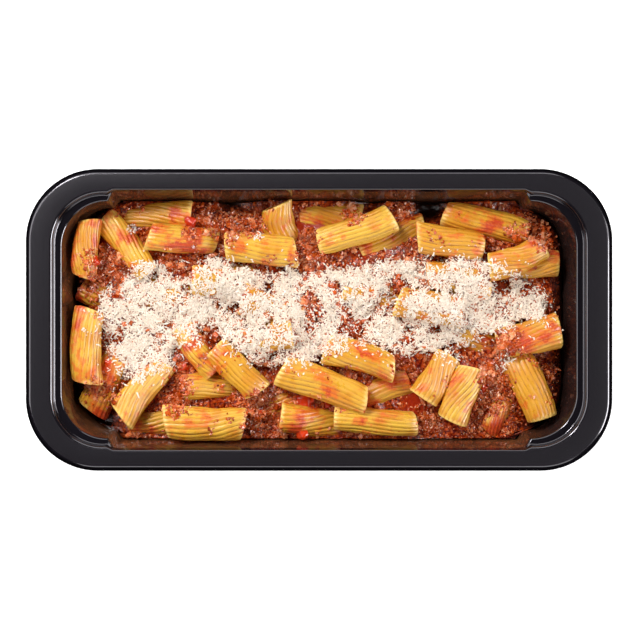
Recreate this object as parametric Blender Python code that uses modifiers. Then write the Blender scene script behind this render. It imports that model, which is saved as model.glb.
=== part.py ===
"""Rigatoni bolognese with grated cheese, filling a black plastic ready-meal tray.

Metres, +Z up. The origin is the bottom centre of the tray's base, +X runs along the tray
and +Y points to the far long side. Two solids: the thin-walled tray, and the heap of food,
which is a core of meat sauce with the rigatoni, mince and cheese that show fused on.
"""
import math
import random
from collections import namedtuple

import bmesh
import bpy
from mathutils import Euler, Matrix, Vector, noise
from mathutils.bvhtree import BVHTree

MM = 0.001

# Tray: outer sizes over the skirt, then its profile from the outside in
TRAY_LENGTH = 272.0 * MM
TRAY_WIDTH = 140.0 * MM
TRAY_HEIGHT = 42.0 * MM
TRAY_CORNER = 33.4 * MM
PLASTIC = 0.7 * MM
SKIRT_DROP = 3.6 * MM
SKIRT_FLARE = 1.9 * MM
RIM_BEND = 0.9 * MM
FLANGE_AT_ENDS = 9.6 * MM
FLANGE_AT_CORNER_SIDES = 8.4 * MM
FLANGE_AT_BAY = 7.0 * MM
EDGE_BEND = 0.5 * MM
EDGE_CORNER = 23.5 * MM
BEND_SHARE = 0.3
STEP_CREASE = 0.1 * MM
BAY_STEP_SHARE = 0.6
BAY_LEDGE_RISE = 0.3 * MM
STEP_DEPTH = 3.0 * MM
STEP_SLOPE = 0.9 * MM
LEDGE_AT_ENDS = 3.4 * MM
LEDGE_AT_SIDES = 2.9 * MM
LEDGE_CORNER = 21.0 * MM
CORNER_PER_DRAFT = 0.35
CORNER_PER_FILLET = 0.5
WALL_DRAFT = math.radians(8.0)
BAY_DRAFT = math.radians(9.5)
BASE_FILLET = 6.0 * MM
FILLET_STEPS = 3
BASE_FLATTEN = 0.05 * MM
SHARP_ANGLE = math.radians(35.0)
PLASTIC_COLOUR = (0.024, 0.023, 0.027)
PLASTIC_ROUGHNESS = 0.35
FOOD_COLOUR = (0.62, 0.27, 0.07)
FOOD_ROUGHNESS = 0.4

# The long sides stand further out between the corners: the jog starts here and runs this far
JOG_STATION = 98.2 * MM
JOG_RUN = 2.8 * MM
JOG_TO_CORNER = 0.3 * MM

ARC_STEPS = 11
FOOD_ARC_STEPS = 5
FOOD_SIDE_STEPS = 7
FOOD_END_STEPS = 3
FOOD_GAP = 0.35 * MM
FITTING_STEPS = 4

# Sauce surface
SAUCE_AT_WALL = 20.4 * MM
SAUCE_CROWN = 3.0 * MM
SAUCE_BUMP = 1.6 * MM
SAUCE_BUMP_SIZE = 15.0 * MM
END_SINK = 8.0 * MM
END_SINK_START = 109.0 * MM
END_SINK_RUN = 8.0 * MM
CORE_SIDE_LEVELS = (0.3, 0.65, 1.0)
CORE_TOP_SCALES = (0.92, 0.8, 0.66, 0.5, 0.33, 0.16)

# Rigatoni
TUBE_DIAMETER = 14.4 * MM
TUBE_WALL = 1.7 * MM
TUBE_SIDES = 10
TUBE_RECESS = 4.5 * MM
TUBE_TAPER = 0.5 * MM
TUBE_FLATTEN = 0.93
LAYER_HEIGHTS = (18.0 * MM, 23.3 * MM, 28.4 * MM)
LOWEST_AXIS = 10.0 * MM
HIGHEST_AXIS = 28.8 * MM
SETTLE_STEPS = 60
SETTLE_SQUASH = 0.9
SETTLE_RETURN = 0.06
SETTLE_PUSH = 0.25
SETTLE_LEVELLING = 0.1
PLAN_SAMPLES = 12

# Small pieces on top
MINCE_COUNT = 40
MINCE_TRIES = 320
MINCE_REACH = 0.97
MINCE_FLATNESS = 0.75
MINCE_RADIUS = (2.6 * MM, 4.6 * MM)
DRIFT_COUNT = 34
DRIFT_REACH = 0.75
DRIFT_FLATNESS = 0.28
LUMP_WIDTH = (0.7, 1.0)
DRIFT_RADIUS = (4.0 * MM, 8.0 * MM)
SHRED_COUNT = 44
SHRED_LENGTH = (8.0 * MM, 17.0 * MM)
SHRED_WIDTH = 1.5 * MM
SHRED_HEIGHT = 1.2 * MM
SHRED_STEEPEST = 0.85
SEED = 11

Piece = namedtuple("Piece", "x0 y0 x1 y1 layer width")

# Both ends of each tube's axis seen from above, in millimetres, its layer, from 0 low to 2 on
# top, and its width seen from above
RIGATONI = [
    # Left end, from the far wall to the near wall
    Piece(-91.5, 49.5, -60, 51.5, 2, 12.4),
    Piece(-100.5, 49, -80.5, 23.5, 2, 12.4),
    Piece(-107, 46, -110, 20.5, 2, 11.4),
    Piece(-80, 39, -49.5, 37, 2, 12.6),
    Piece(-112, 15.5, -82, 0.5, 1, 14.4),
    Piece(-107.5, 4.5, -108.5, -29, 2, 14.4),
    Piece(-107, -42.5, -93, -14, 1, 14.4),
    Piece(-92.5, -45.5, -73, -22, 2, 13.6),
    Piece(-90.5, -48.5, -62.5, -49, 1, 12.6),
    # Left of the middle, near side
    Piece(-71.5, -47.5, -35.5, -48.5, 2, 15.4),
    Piece(-64, -32, -38.5, -31, 2, 12.0),
    Piece(-64, -4, -49, -24.5, 2, 11.6),
    Piece(-62.5, -17, -59, 9, 0, 14.4),
    Piece(-48.5, -13.5, -28.5, -33, 2, 13.2),
    Piece(-31.5, -45, -8, -37, 1, 12.4),
    Piece(-18.5, -46.5, 8, -50, 1, 13.6),
    # Middle, near side
    Piece(7.5, -45.5, 45, -49, 2, 11.8),
    Piece(-17.5, -24, 21.5, -38, 2, 14.8),
    Piece(3.5, -14, 34.5, -23, 2, 13.6),
    Piece(20, -37, 42, -28.5, 1, 13.6),
    # Right end, near side
    Piece(48.5, -36.5, 60.5, -18, 2, 14.0),
    Piece(62.5, -47, 71.5, -23, 2, 14.4),
    Piece(60.5, -21, 74.5, 1, 1, 13.6),
    Piece(65.5, -5.5, 90.5, -16, 1, 14.4),
    Piece(79.5, -53, 87, -38, 0, 11.0),
    Piece(92.5, -18.5, 105, -46, 2, 15.6),
    Piece(84, -11, 112, -5, 2, 15.0),
    # Right end, far side
    Piece(59, 50, 97.5, 41, 2, 13.0),
    Piece(46, 39, 76, 34, 2, 13.6),
    Piece(58.5, 21, 83.5, 31, 1, 12.8),
    Piece(87.5, 25.5, 112.5, 26.5, 1, 13.6),
    Piece(80, 24.5, 104, 34, 2, 12.8),
    # Middle, far side
    Piece(-19.5, 55, -16, 38, 2, 15.0),
    Piece(-43.5, 34.5, -11.5, 31.5, 2, 14.0),
    Piece(-8, 51, 19, 50.5, 1, 12.6),
    Piece(19, 34.5, 48.5, 44, 1, 13.2),
    Piece(0, 36.5, 34, 47.5, 2, 13.0),
    Piece(-6.5, 24, 18.5, 24.5, 0, 14.4),
]

# The same for the tubes under the cheese, whose ends are filled with sauce and cheese
COVERED_RIGATONI = [
    Piece(-81.5, 13, -53.5, 9, 1, 14.4),
    Piece(-59.5, 18.5, -30.5, 19.5, 1, 14.4),
    Piece(-36, 10.5, -11, 1.5, 1, 14.4),
    Piece(-41, -11, -12.5, -7, 1, 14.4),
    Piece(12, 15, 39, 8.5, 1, 14.4),
    Piece(37, 8.5, 66, 3.5, 1, 14.4),
    Piece(46, -25.5, 57, 2.5, 0, 14.4),
    Piece(51, 21, 79.5, 16.5, 1, 14.4),
    Piece(82.5, 14.5, 104, 26, 0, 14.4),
]

Dip = namedtuple("Dip", "x y radius depth")

# Where the sauce sinks beside the wall and the black tray shows, in millimetres
DIPS = [
    Dip(-114, 49, 11, 10),
    Dip(-42, 61, 11, 8),
    Dip(24, 60, 8, 6),
    Dip(52, 54, 8, 9),
    Dip(111, 56, 11, 10),
    Dip(-115, 5, 7, 7),
    Dip(-108, -52, 13, 10),
    Dip(108, -53, 10, 9),
]

# The band of cheese seen from above: its middle line and half width at a few stations
CHEESE_STATIONS = (
    (-104 * MM, 2 * MM, 14 * MM),
    (-70 * MM, 2 * MM, 24 * MM),
    (-20 * MM, 2 * MM, 19 * MM),
    (25 * MM, 3 * MM, 18 * MM),
    (70 * MM, 8 * MM, 18 * MM),
    (108 * MM, 6 * MM, 9 * MM),
)


def clear_scene():
    """Remove every object, so that the script can be run again."""
    for thing in list(bpy.data.objects):
        bpy.data.objects.remove(thing)


def collection(name):
    """A new collection in the scene."""
    group = bpy.data.collections.new(name)
    bpy.context.scene.collection.children.link(group)
    return group


def material(name, colour, roughness):
    """A plain Principled material."""
    made = bpy.data.materials.new(name)
    made.use_nodes = True
    shader = made.node_tree.nodes["Principled BSDF"]
    shader.inputs["Base Color"].default_value = (*colour, 1.0)
    shader.inputs["Roughness"].default_value = roughness
    shader.inputs["Metallic"].default_value = 0.0
    return made


def make_object(name, mesh_builder, group):
    """An object from a bmesh, which is freed."""
    mesh = bpy.data.meshes.new(name)
    mesh_builder.normal_update()
    mesh_builder.to_mesh(mesh)
    mesh_builder.free()
    made = bpy.data.objects.new(name, mesh)
    group.objects.link(made)
    return made


Section = namedtuple("Section", "length width bay corner z bay_z")


def jog_start(section):
    """Where along the long side the wall starts to jog outwards."""
    return min(JOG_STATION, section.length - section.corner - JOG_TO_CORNER)


def ring(section, arc_steps, side_steps, end_steps):
    """Points round one section: a rounded rectangle whose long sides jog outwards."""
    centre_x = section.length - section.corner
    centre_y = section.width - section.corner
    jog = jog_start(section)
    quarter = []
    for step in range(end_steps):
        quarter.append((section.length, centre_y * step / end_steps, section.z))
    for step in range(arc_steps + 1):
        angle = math.pi / 2 * step / arc_steps
        x = centre_x + section.corner * math.cos(angle)
        y = centre_y + section.corner * math.sin(angle)
        quarter.append((x, y, section.z))
    quarter.append((jog, section.width, section.z))
    for step in range(side_steps + 1):
        x = (jog - JOG_RUN) * (1 - step / side_steps)
        quarter.append((x, section.bay, section.bay_z))
    far_left = [(-x, y, z) for x, y, z in reversed(quarter[:-1])]
    near_left = [(-x, -y, z) for x, y, z in quarter[1:]]
    near_right = [(x, -y, z) for x, y, z in reversed(quarter[1:-1])]
    return [Vector(point) for point in quarter + far_left + near_left + near_right]


def fillet_inset(z):
    """How far the base fillet pulls the wall in at this height."""
    above_floor = max(z - PLASTIC, 0.0)
    if above_floor >= BASE_FILLET:
        return 0.0
    return BASE_FILLET - math.sqrt(BASE_FILLET ** 2 - (BASE_FILLET - above_floor) ** 2)


LEDGE_Z = TRAY_HEIGHT - STEP_DEPTH
FLANGE_OUTER = SKIRT_FLARE + RIM_BEND
EDGE_LENGTH = TRAY_LENGTH / 2 - FLANGE_OUTER - FLANGE_AT_ENDS
EDGE_WIDTH = TRAY_WIDTH / 2 - FLANGE_OUTER - FLANGE_AT_CORNER_SIDES
EDGE_BAY = TRAY_WIDTH / 2 - FLANGE_OUTER - FLANGE_AT_BAY
LEDGE_LENGTH = EDGE_LENGTH - STEP_SLOPE - LEDGE_AT_ENDS
LEDGE_WIDTH = EDGE_WIDTH - STEP_SLOPE - LEDGE_AT_SIDES


def bay_width(z):
    """Half width of the tray's inside between the jogs."""
    return EDGE_BAY - (TRAY_HEIGHT - z) * math.tan(BAY_DRAFT) - fillet_inset(z)


def inside(z, gap=0.0):
    """Section of the tray's inside at a height below the ledge, shrunk by a gap."""
    draft = (LEDGE_Z - z) * math.tan(WALL_DRAFT)
    inset = draft + fillet_inset(z) + gap
    corner = LEDGE_CORNER - CORNER_PER_DRAFT * draft - CORNER_PER_FILLET * fillet_inset(z)
    return Section(LEDGE_LENGTH - inset, LEDGE_WIDTH - inset, bay_width(z) - gap, corner, z, z)


def skirt_section(inset, z):
    """Section of the skirt and the flange's outer edge, which have no jog."""
    width = TRAY_WIDTH / 2 - inset
    return Section(TRAY_LENGTH / 2 - inset, width, width, TRAY_CORNER - inset, z, z)


def edge_section(inset, drop, bay_drop):
    """Section of the flange's inner edge and the step under it."""
    bay_z = TRAY_HEIGHT - bay_drop
    length = EDGE_LENGTH - inset
    width = EDGE_WIDTH - inset
    return Section(length, width, bay_width(bay_z), EDGE_CORNER - inset, TRAY_HEIGHT - drop, bay_z)


def tray_sections():
    """Every section of the tray's upper surface, from the skirt's lip to the flat base."""
    sections = [
        skirt_section(0.0, TRAY_HEIGHT - SKIRT_DROP),
        skirt_section(SKIRT_FLARE, TRAY_HEIGHT - RIM_BEND),
        skirt_section(SKIRT_FLARE + BEND_SHARE * RIM_BEND, TRAY_HEIGHT - BEND_SHARE * RIM_BEND),
        skirt_section(FLANGE_OUTER, TRAY_HEIGHT),
        edge_section(0.0, 0.0, 0.0),
        edge_section(BEND_SHARE * EDGE_BEND, EDGE_BEND, EDGE_BEND),
        edge_section(STEP_SLOPE, STEP_DEPTH - STEP_CREASE, BAY_STEP_SHARE * STEP_DEPTH),
    ]
    bay_z = LEDGE_Z + BAY_LEDGE_RISE
    sections.append(inside(LEDGE_Z)._replace(bay=bay_width(bay_z), bay_z=bay_z))
    sections.append(inside(LEDGE_Z - EDGE_BEND))
    sections.append(inside((LEDGE_Z + BASE_FILLET) / 2))
    for step in range(FILLET_STEPS + 1):
        angle = math.pi / 2 * step / FILLET_STEPS
        sections.append(inside(PLASTIC + BASE_FILLET * (1 - math.sin(angle))))
    return sections


def loft(rings):
    """A skin through rings of equal counts, with the last ring closed by a flat face."""
    skin = bmesh.new()
    rows = [[skin.verts.new(point) for point in points] for points in rings]
    count = len(rows[0])
    for upper, lower in zip(rows, rows[1:]):
        for index in range(count):
            following = (index + 1) % count
            skin.faces.new((upper[index], upper[following], lower[following], lower[index]))
    skin.faces.new(rows[-1])
    return skin


def build_tray(group):
    """The thin-walled tray: its upper surface, thickened downwards and outwards."""
    rings = [ring(section, ARC_STEPS, 1, 1) for section in tray_sections()]
    skin = loft(rings)
    tray = make_object("tray", skin, group)
    shell = tray.modifiers.new("plastic", "SOLIDIFY")
    shell.thickness = PLASTIC
    shell.offset = -1.0
    shell.use_even_offset = True
    depsgraph = bpy.context.evaluated_depsgraph_get()
    solid = bpy.data.meshes.new_from_object(tray.evaluated_get(depsgraph))
    tray.modifiers.clear()
    tray.data = solid
    for vert in solid.vertices:
        if vert.co.z < BASE_FLATTEN:
            vert.co.z = 0.0
    tray.data.materials.append(material("black_plastic", PLASTIC_COLOUR, PLASTIC_ROUGHNESS))
    tray.data.shade_smooth()
    tray.data.set_sharp_from_angle(angle=SHARP_ANGLE)
    return tray


def sauce_height(x, y):
    """Height of the sauce between the pasta: crowned, bumpy, and sunk at the dips."""
    across = min(1.0, (2 * x / TRAY_LENGTH) ** 2 + (2 * y / TRAY_WIDTH) ** 2)
    height = SAUCE_AT_WALL + SAUCE_CROWN * (1 - across)
    place = Vector((x, y, 0.0)) / SAUCE_BUMP_SIZE
    height += SAUCE_BUMP * noise.noise(place)
    height -= END_SINK * min(max((abs(x) - END_SINK_START) / END_SINK_RUN, 0.0), 1.0)
    for dip in DIPS:
        away = math.hypot(x - dip.x * MM, y - dip.y * MM) / (dip.radius * MM)
        height -= dip.depth * MM * math.exp(-away * away)
    return height


def food_ring(section):
    """Evenly spread points round one section of the food."""
    return ring(section, FOOD_ARC_STEPS, FOOD_SIDE_STEPS, FOOD_END_STEPS)


def build_core(group):
    """The bed of sauce and hidden pasta, fitted to the tray's inside."""
    floor = PLASTIC + FOOD_GAP
    edge = food_ring(inside(SAUCE_AT_WALL, FOOD_GAP))
    tops = [sauce_height(point.x, point.y) for point in edge]
    rings = []
    for scale in reversed(CORE_TOP_SCALES):
        points = [Vector((p.x * scale, p.y * scale, 0.0)) for p in edge]
        rings.append([Vector((p.x, p.y, sauce_height(p.x, p.y))) for p in points])
    for level in reversed(CORE_SIDE_LEVELS):
        heights = [floor + level * (top - floor) for top in tops]
        rings.append([food_ring(inside(z, FOOD_GAP))[index] for index, z in enumerate(heights)])
    foot = inside(PLASTIC, FOOD_GAP)
    rings.append(food_ring(foot._replace(z=floor, bay_z=floor)))
    body = loft(rings)
    body.verts.ensure_lookup_table()
    body.faces.new([body.verts[index] for index in reversed(range(len(edge)))])
    bmesh.ops.recalc_face_normals(body, faces=body.faces)
    return make_object("rigatoni_bolognese", body, group)


def keep_inside(point, gap):
    """The point, moved in where it would come closer to the tray's wall than the gap."""
    section = inside(min(max(point.z, PLASTIC + gap), LEDGE_Z), gap)
    x = min(abs(point.x), section.length)
    share = min(max((x - jog_start(section)) / JOG_RUN + 1.0, 0.0), 1.0)
    y = min(abs(point.y), section.bay + (section.width - section.bay) * share)
    past_x = x - (section.length - section.corner)
    past_y = y - (section.width - section.corner)
    reach = math.hypot(past_x, past_y)
    if past_x > 0 and past_y > 0 and reach > section.corner:
        x = section.length - section.corner + past_x * section.corner / reach
        y = section.width - section.corner + past_y * section.corner / reach
    return Vector((math.copysign(x, point.x), math.copysign(y, point.y), point.z))


def fused_piece(name, shape, group):
    """An object for the union, moved bodily off the tray's wall where it would touch it."""
    for _ in range(FITTING_STEPS):
        moves = [keep_inside(vert.co, 2 * FOOD_GAP) - vert.co for vert in shape.verts]
        bmesh.ops.translate(shape, verts=shape.verts, vec=max(moves, key=lambda move: move.length))
    return make_object(name, shape, group)


def nearest_in_plan(first, second):
    """Smallest plan distance of two axes, and where along each it lies, from 0 to 1."""
    start = Vector((second.x0, second.y0))
    along = Vector((second.x1, second.y1)) - start
    best = (math.inf, 0.0, 0.0)
    for step in range(PLAN_SAMPLES + 1):
        share = step / PLAN_SAMPLES
        x = first.x0 + (first.x1 - first.x0) * share
        y = first.y0 + (first.y1 - first.y0) * share
        other = (Vector((x, y)) - start).dot(along) / along.length_squared
        other = min(max(other, 0.0), 1.0)
        distance = (start + along * other - Vector((x, y))).length
        best = min(best, (distance, share, other))
    return best


def settle(pieces):
    """Heights of both ends of every axis, pushed apart until crossing tubes stack."""
    heights = [[LAYER_HEIGHTS[piece.layer]] * 2 for piece in pieces]
    touching = []
    for upper in range(len(pieces)):
        for lower in range(len(pieces)):
            over = pieces[upper].layer - pieces[lower].layer
            if over < 0 or (over == 0 and upper <= lower):
                continue
            distance, share, other = nearest_in_plan(pieces[upper], pieces[lower])
            if distance * MM < TUBE_DIAMETER:
                rise = math.sqrt(TUBE_DIAMETER ** 2 - (distance * MM) ** 2) * SETTLE_SQUASH
                touching.append((upper, share, lower, other, rise))
    for _ in range(SETTLE_STEPS):
        for upper, share, lower, other, rise in touching:
            high, low = heights[upper], heights[lower]
            now = high[0] * (1 - share) + high[1] * share - low[0] * (1 - other) - low[1] * other
            push = SETTLE_PUSH * max(rise - now, 0.0)
            high[0] += push * (1 - share)
            high[1] += push * share
            low[0] -= push * (1 - other)
            low[1] -= push * other
        for piece, ends in zip(pieces, heights):
            target = LAYER_HEIGHTS[piece.layer]
            middle = (ends[0] + ends[1]) / 2
            for end in (0, 1):
                ends[end] += (middle - ends[end]) * SETTLE_LEVELLING
                ends[end] += (target - ends[end]) * SETTLE_RETURN
                ends[end] = min(max(ends[end], LOWEST_AXIS), HIGHEST_AXIS)
    return heights


def build_tube(piece, ends, group):
    """One rigatone: a ten-sided tube, with a short blind hollow in each end that shows."""
    start = Vector((piece.x0 * MM, piece.y0 * MM, ends[0]))
    finish = Vector((piece.x1 * MM, piece.y1 * MM, ends[1]))
    length = (finish - start).length
    tube = bmesh.new()
    radius = TUBE_DIAMETER / 2
    bmesh.ops.create_cone(
        tube, cap_ends=True, segments=TUBE_SIDES, radius1=radius, radius2=radius, depth=length)
    if piece in RIGATONI:
        caps = [face for face in tube.faces if len(face.verts) == TUBE_SIDES]
        bmesh.ops.inset_individual(tube, faces=caps, thickness=TUBE_WALL)
        bmesh.ops.inset_individual(tube, faces=caps, thickness=TUBE_TAPER, depth=-TUBE_RECESS)
    turn = (finish - start).to_track_quat("Z", "Y").to_matrix().to_4x4()
    place = Matrix.Translation((start + finish) / 2)
    squash = Matrix.Diagonal((1.0, 1.0, TUBE_FLATTEN, 1.0))
    narrow = Matrix.Diagonal((piece.width * MM / TUBE_DIAMETER, 1.0, 1.0, 1.0))
    tube.transform(place @ squash @ turn @ narrow)
    return fused_piece("tube", tube, group)


def surface_of(things):
    """A tree for finding the top of several objects, and which object each face is of."""
    points, faces, owners = [], [], []
    for owner, thing in enumerate(things):
        first = len(points)
        points.extend(vert.co.copy() for vert in thing.data.vertices)
        faces.extend([first + index for index in face.vertices] for face in thing.data.polygons)
        owners.extend([owner] * len(thing.data.polygons))
    return BVHTree.FromPolygons(points, faces), owners


def drop_on(surface, x, y):
    """Where a thing dropped at this place lands: point, slope and face."""
    point, normal, face, _ = surface.ray_cast(Vector((x, y, 2 * TRAY_HEIGHT)), Vector((0, 0, -1)))
    return point, normal, face


def cheese_band(x):
    """Middle line and half width of the cheese at this station, or nothing past its ends."""
    for (x0, mid0, half0), (x1, mid1, half1) in zip(CHEESE_STATIONS, CHEESE_STATIONS[1:]):
        if x0 <= x <= x1:
            share = (x - x0) / (x1 - x0)
            return mid0 + (mid1 - mid0) * share, half0 + (half1 - half0) * share
    return None


def build_lump(name, radius, flatness, centre, draw, group):
    """A squashed twenty-sided lump, turned at random."""
    lump = bmesh.new()
    bmesh.ops.create_icosphere(lump, subdivisions=1, radius=radius)
    turn = Euler([draw.uniform(0, math.tau) for _ in range(3)]).to_matrix().to_4x4()
    squash = Matrix.Diagonal((1.0, draw.uniform(*LUMP_WIDTH), flatness, 1.0))
    lump.transform(Matrix.Translation(centre) @ squash @ turn)
    return fused_piece(name, lump, group)


def build_mince(surface, owners, draw, group):
    """Lumps of mince wherever the sauce shows between the tubes."""
    made = 0
    edge = inside(SAUCE_AT_WALL)
    for _ in range(MINCE_TRIES):
        x = draw.uniform(-1, 1) * edge.length * MINCE_REACH
        y = draw.uniform(-1, 1) * edge.width * MINCE_REACH
        point, _, face = drop_on(surface, x, y)
        if made == MINCE_COUNT:
            break
        if face is None or owners[face] != 0:
            continue
        build_lump("mince", draw.uniform(*MINCE_RADIUS), MINCE_FLATNESS, point, draw, group)
        made += 1


def build_cheese(surface, draw, group):
    """The drift of cheese over the middle: flat lumps, with single shreds lying on them."""
    first, last = CHEESE_STATIONS[0][0], CHEESE_STATIONS[-1][0]
    for step in range(DRIFT_COUNT):
        x = first + (last - first) * (step + draw.random()) / DRIFT_COUNT
        middle, half = cheese_band(x)
        y = middle + half * draw.uniform(-DRIFT_REACH, DRIFT_REACH)
        point, _, face = drop_on(surface, x, y)
        if face is not None:
            build_lump("drift", draw.uniform(*DRIFT_RADIUS), DRIFT_FLATNESS, point, draw, group)
    for step in range(SHRED_COUNT):
        x = first + (last - first) * (step + draw.random()) / SHRED_COUNT
        middle, half = cheese_band(x)
        y = middle + half * draw.uniform(-1.0, 1.0)
        point, normal, face = drop_on(surface, x, y)
        if face is not None and normal.z > SHRED_STEEPEST:
            build_shred(point, normal, draw, group)


def build_shred(point, normal, draw, group):
    """One strip of cheese lying on the slope under it."""
    strip = bmesh.new()
    bmesh.ops.create_cube(strip, size=1.0)
    size = Matrix.Diagonal((draw.uniform(*SHRED_LENGTH), SHRED_WIDTH, SHRED_HEIGHT, 1.0))
    heading = Matrix.Rotation(draw.uniform(0, math.tau), 4, "Z")
    slope = Vector((0, 0, 1)).rotation_difference(normal).to_matrix().to_4x4()
    strip.transform(Matrix.Translation(point) @ slope @ heading @ size)
    return fused_piece("shred", strip, group)


def fuse(core, group):
    """Union of the core with every object of the collection, which are then removed."""
    union = core.modifiers.new("fuse", "BOOLEAN")
    union.operation = "UNION"
    union.operand_type = "COLLECTION"
    union.collection = group
    union.solver = "MANIFOLD"
    depsgraph = bpy.context.evaluated_depsgraph_get()
    fused = bpy.data.meshes.new_from_object(core.evaluated_get(depsgraph))
    core.modifiers.clear()
    core.data = fused
    for piece in list(group.objects):
        bpy.data.objects.remove(piece)
    bpy.data.collections.remove(group)


def keep_largest_island(thing):
    """Drop loose scraps, and fill hollows that the union sealed."""
    body = bmesh.new()
    body.from_mesh(thing.data)
    bmesh.ops.triangulate(body, faces=body.faces)
    waiting = set(body.faces)
    islands = []
    while waiting:
        island = []
        stack = [waiting.pop()]
        while stack:
            face = stack.pop()
            island.append(face)
            shared = [edge.link_faces for edge in face.edges if len(edge.link_faces) == 2]
            neighbours = {other for pair in shared for other in pair}
            stack.extend(neighbours & waiting)
            waiting -= neighbours
        islands.append(island)
    islands.sort(key=len)
    for island in islands[:-1]:
        bmesh.ops.delete(body, geom=island, context="FACES")
    body.to_mesh(thing.data)
    body.free()


def build_food(group, loose):
    """The heap of rigatoni bolognese with its cheese, as one solid."""
    core = build_core(group)
    pieces = RIGATONI + COVERED_RIGATONI
    tubes = [build_tube(piece, ends, loose) for piece, ends in zip(pieces, settle(pieces))]
    surface, owners = surface_of([core] + tubes)
    draw = random.Random(SEED)
    build_mince(surface, owners, draw, loose)
    build_cheese(surface, draw, loose)
    fuse(core, loose)
    keep_largest_island(core)
    core.data.materials.clear()
    core.data.materials.append(material("pasta_in_sauce", FOOD_COLOUR, FOOD_ROUGHNESS))
    return core


def main():
    """Build the tray and its food."""
    clear_scene()
    meal = collection("plastic_tray_meal")
    loose = collection("pieces_to_fuse")
    build_tray(meal)
    build_food(meal, loose)


main()
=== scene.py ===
"""The looks of a rigatoni bolognese in a black plastic tray, seen from straight above.

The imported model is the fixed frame. The tray and the heap of food are each replaced by fine
meshes of the same form: ridged tubes, meat sauce, mince, tomato and grated cheese.
"""
import math
from collections import namedtuple

import bmesh
import bpy
import numpy as np
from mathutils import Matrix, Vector, noise
from mathutils.bvhtree import BVHTree


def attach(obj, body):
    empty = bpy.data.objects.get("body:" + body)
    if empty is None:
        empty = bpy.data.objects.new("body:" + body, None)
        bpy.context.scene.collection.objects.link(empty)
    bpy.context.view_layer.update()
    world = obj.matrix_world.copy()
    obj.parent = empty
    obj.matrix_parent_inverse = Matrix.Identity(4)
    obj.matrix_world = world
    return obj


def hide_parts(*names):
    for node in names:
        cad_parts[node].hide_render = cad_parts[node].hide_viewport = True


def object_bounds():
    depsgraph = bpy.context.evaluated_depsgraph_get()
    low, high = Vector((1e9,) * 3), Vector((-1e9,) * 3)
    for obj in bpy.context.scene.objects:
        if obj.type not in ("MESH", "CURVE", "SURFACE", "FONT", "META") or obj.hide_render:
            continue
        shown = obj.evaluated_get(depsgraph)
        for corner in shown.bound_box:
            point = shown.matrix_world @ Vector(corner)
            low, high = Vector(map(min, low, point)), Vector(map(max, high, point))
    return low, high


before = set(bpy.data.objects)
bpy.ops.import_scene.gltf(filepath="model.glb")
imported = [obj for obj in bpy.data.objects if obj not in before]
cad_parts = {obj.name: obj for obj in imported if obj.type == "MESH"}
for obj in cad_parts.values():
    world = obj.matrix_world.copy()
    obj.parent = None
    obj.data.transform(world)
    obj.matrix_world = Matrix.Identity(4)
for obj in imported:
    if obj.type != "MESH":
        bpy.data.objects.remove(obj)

cad_low, cad_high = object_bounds()

MM = 0.001
rng = np.random.default_rng(5)

# Tray, the same sizes as the solid it stands for
TRAY_LENGTH = cad_high.x - cad_low.x
TRAY_WIDTH = cad_high.y - cad_low.y
TRAY_HEIGHT = cad_high.z
TRAY_CORNER = 33.4 * MM
PLASTIC = 0.7 * MM
SKIRT_DROP = 3.6 * MM
SKIRT_FLARE = 1.9 * MM
RIM_BEND = 0.9 * MM
FLANGE_AT_ENDS = 9.6 * MM
FLANGE_AT_CORNER_SIDES = 8.4 * MM
FLANGE_AT_BAY = 7.0 * MM
STEP_DEPTH = 3.0 * MM
STEP_SLOPE = 0.9 * MM
LEDGE_AT_ENDS = 3.4 * MM
LEDGE_AT_SIDES = 2.9 * MM
LEDGE_CORNER = 21.0 * MM
EDGE_CORNER = 23.5 * MM
BEND_RADII = (1.1 * MM, 1.4 * MM, 0.9 * MM, 1.1 * MM)
BEND_STEPS = 6
FILLET_STEPS = 9
WALL_DRAFT = math.radians(8.0)
BAY_DRAFT = math.radians(9.5)
BASE_FILLET = 6.0 * MM
JOG_STATION = 98.2 * MM
JOG_RUN = 2.8 * MM
JOG_TO_CORNER = 0.3 * MM

# Points round a quarter of a section: steps of its corner, its long side and its end
TRAY_STEPS = (26, 12, 4)
SAUCE_STEPS = (30, 70, 26)

# Food
FOOD_GAP = 0.35 * MM
SAUCE_AT_WALL = 20.4 * MM
SAUCE_CROWN = 3.0 * MM
SAUCE_BUMP = 1.6 * MM
SAUCE_BUMP_SIZE = 15.0 * MM
END_SINK = 8.0 * MM
END_SINK_START = 109.0 * MM
END_SINK_RUN = 8.0 * MM
# How far the sauce sinks before its colour is fully darkened as painted shade
DARK_SINK = 6.0 * MM
SAUCE_RINGS = 66
SAUCE_SIDE_LEVELS = (1.0, 0.8, 0.5, 0.2, 0.0)
TUBE_DIAMETER = 14.4 * MM
LAYER_HEIGHTS = (18.0 * MM, 23.3 * MM, 28.4 * MM)
LOWEST_AXIS = 10.0 * MM
HIGHEST_AXIS = 28.8 * MM
SETTLE_STEPS = 60
SETTLE_SQUASH = 0.9
SETTLE_RETURN = 0.06
SETTLE_PUSH = 0.25
SETTLE_LEVELLING = 0.1
PLAN_SAMPLES = 12

Piece = namedtuple("Piece", "x0 y0 x1 y1 layer width sauce")

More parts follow.
